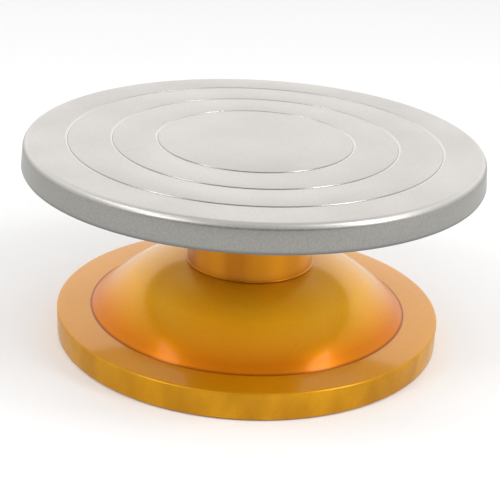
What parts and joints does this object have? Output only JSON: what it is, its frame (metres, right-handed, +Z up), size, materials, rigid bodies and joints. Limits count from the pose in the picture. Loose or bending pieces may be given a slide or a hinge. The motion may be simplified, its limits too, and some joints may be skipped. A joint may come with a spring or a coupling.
{
  "type": "cake turntable",
  "caption": "Round cake turntable: a flat grooved metal plate with a turned-down rim spins on ball bearings in the neck of a domed, flanged base on rubber feet.",
  "frame": {"origin": "centre of the circle that the four feet stand on, on the surface that they rest on", "axes": "+Z up along the axis that the plate turns about; +X to the right and -Y to the front, which look the same, because the turntable is round"},
  "size_m": [0.305, 0.305, 0.137],
  "materials": {
    "satin_aluminium": "satin aluminium, fine grain, faintly warm",
    "cast_aluminium": "as-cast aluminium, matt",
    "gold_lacquer": "glossy orange-gold lacquer over cast aluminium",
    "bearing_steel": "ground and polished bearing steel",
    "zinc_steel": "zinc-plated steel",
    "spring_steel": "blackened spring steel",
    "cage_plastic": "moulded polyamide",
    "black_rubber": "black moulded rubber"
  },
  "bodies": {
    "base": {"base_casting": "gold_lacquer", "neck": "gold_lacquer", "bearing_housing": "cast_aluminium", "housing_screw_1": "zinc_steel", "housing_screw_2": "zinc_steel", "housing_screw_3": "zinc_steel", "dust_seal": "black_rubber", "housing_circlip": "spring_steel", "grease_cap": "zinc_steel", "upper_bearing_outer_race": "bearing_steel", "upper_bearing_lower_shield": "zinc_steel", "upper_bearing_upper_shield": "zinc_steel", "lower_bearing_outer_race": "bearing_steel", "lower_bearing_lower_shield": "zinc_steel", "lower_bearing_upper_shield": "zinc_steel", "rubber_foot_1": "black_rubber", "rubber_foot_2": "black_rubber", "rubber_foot_3": "black_rubber", "rubber_foot_4": "black_rubber", "foot_screw_1": "zinc_steel", "foot_screw_2": "zinc_steel", "foot_screw_3": "zinc_steel", "foot_screw_4": "zinc_steel"},
    "plate": {"top_plate": "satin_aluminium", "plate_hub": "cast_aluminium", "hub_screw_1": "zinc_steel", "hub_screw_2": "zinc_steel", "hub_screw_3": "zinc_steel", "hub_screw_4": "zinc_steel", "spindle": "bearing_steel", "upper_bearing_inner_race": "bearing_steel", "bearing_spacer": "zinc_steel", "lower_bearing_inner_race": "bearing_steel", "spindle_end_washer": "zinc_steel", "spindle_end_screw": "zinc_steel"},
    "upper_ball_set": {"upper_bearing_cage": "cage_plastic", "upper_bearing_ball_1": "bearing_steel", "upper_bearing_ball_2": "bearing_steel", "upper_bearing_ball_3": "bearing_steel", "upper_bearing_ball_4": "bearing_steel", "upper_bearing_ball_5": "bearing_steel", "upper_bearing_ball_6": "bearing_steel", "upper_bearing_ball_7": "bearing_steel", "upper_bearing_ball_8": "bearing_steel"},
    "lower_ball_set": {"lower_bearing_cage": "cage_plastic", "lower_bearing_ball_1": "bearing_steel", "lower_bearing_ball_2": "bearing_steel", "lower_bearing_ball_3": "bearing_steel", "lower_bearing_ball_4": "bearing_steel", "lower_bearing_ball_5": "bearing_steel", "lower_bearing_ball_6": "bearing_steel", "lower_bearing_ball_7": "bearing_steel", "lower_bearing_ball_8": "bearing_steel"}
  },
  "joints": [
    {"name": "plate_spin", "type": "hinge", "parent": "base", "child": "plate", "pos_m": [0, 0, 0.092], "axis": [0, 0, 1], "continuous": true},
    {"name": "upper_ball_set_spin", "type": "hinge", "parent": "base", "child": "upper_ball_set", "pos_m": [0, 0, 0.112], "axis": [0, 0, 1], "continuous": true},
    {"name": "lower_ball_set_spin", "type": "hinge", "parent": "base", "child": "lower_ball_set", "pos_m": [0, 0, 0.072], "axis": [0, 0, 1], "continuous": true}
  ],
  "couplings": [
    {"joint": "upper_ball_set_spin", "follows": "plate_spin", "ratio": 0.3818},
    {"joint": "lower_ball_set_spin", "follows": "plate_spin", "ratio": 0.3818}
  ]
}
